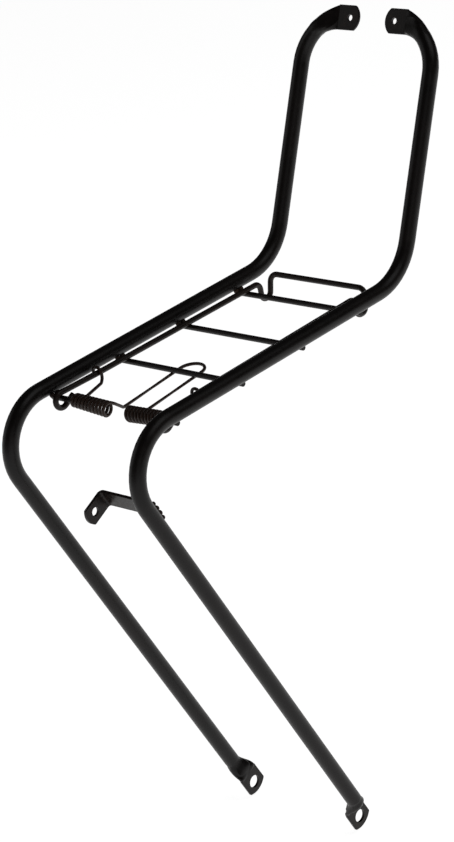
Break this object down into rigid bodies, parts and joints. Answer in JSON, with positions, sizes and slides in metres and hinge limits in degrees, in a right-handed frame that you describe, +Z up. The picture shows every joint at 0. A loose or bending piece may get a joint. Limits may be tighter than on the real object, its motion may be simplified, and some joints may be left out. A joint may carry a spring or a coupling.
{
  "type": "front bicycle luggage carrier",
  "caption": "Tubular front bicycle luggage carrier: bent side tubes with flattened ends, cross rods, a sprung wire clamp over the deck and a lamp bracket on one leg.",
  "frame": {"origin": "midway between the two axle holes in the feet of the legs", "axes": "+Z up, +Y towards the rider, +X towards the side with the lamp bracket; the deck is level"},
  "size_m": [0.158, 0.4464, 0.6647],
  "materials": {
    "frame_paint": "semi-gloss black stove enamel",
    "wire_paint": "thin semi-gloss black paint, slightly brown"
  },
  "bodies": {
    "carrier": {"frame_tube_right": "frame_paint", "frame_tube_left": "frame_paint", "cross_rod_front": "frame_paint", "cross_rod_middle": "frame_paint", "cross_rod_rear": "frame_paint", "pivot_stub_right": "frame_paint", "pivot_stub_left": "frame_paint", "clamp_spring": "wire_paint", "lamp_bracket": "frame_paint", "cross_rod_front_welds": "frame_paint", "cross_rod_middle_welds": "frame_paint", "cross_rod_rear_welds": "frame_paint", "pivot_stub_right_welds": "frame_paint", "pivot_stub_left_welds": "frame_paint", "lamp_bracket_welds": "frame_paint"},
    "clamp": {"clamp_bail": "wire_paint"}
  },
  "joints": [
    {"name": "clamp_hinge", "type": "hinge", "parent": "carrier", "child": "clamp", "pos_m": [0, -0.13, 0.4405], "axis": [1, 0, 0], "range_deg": [0, 100], "stiffness_Nm_per_rad": 4, "springref_deg": -28.65, "deforming": ["clamp_spring"]}
  ]
}
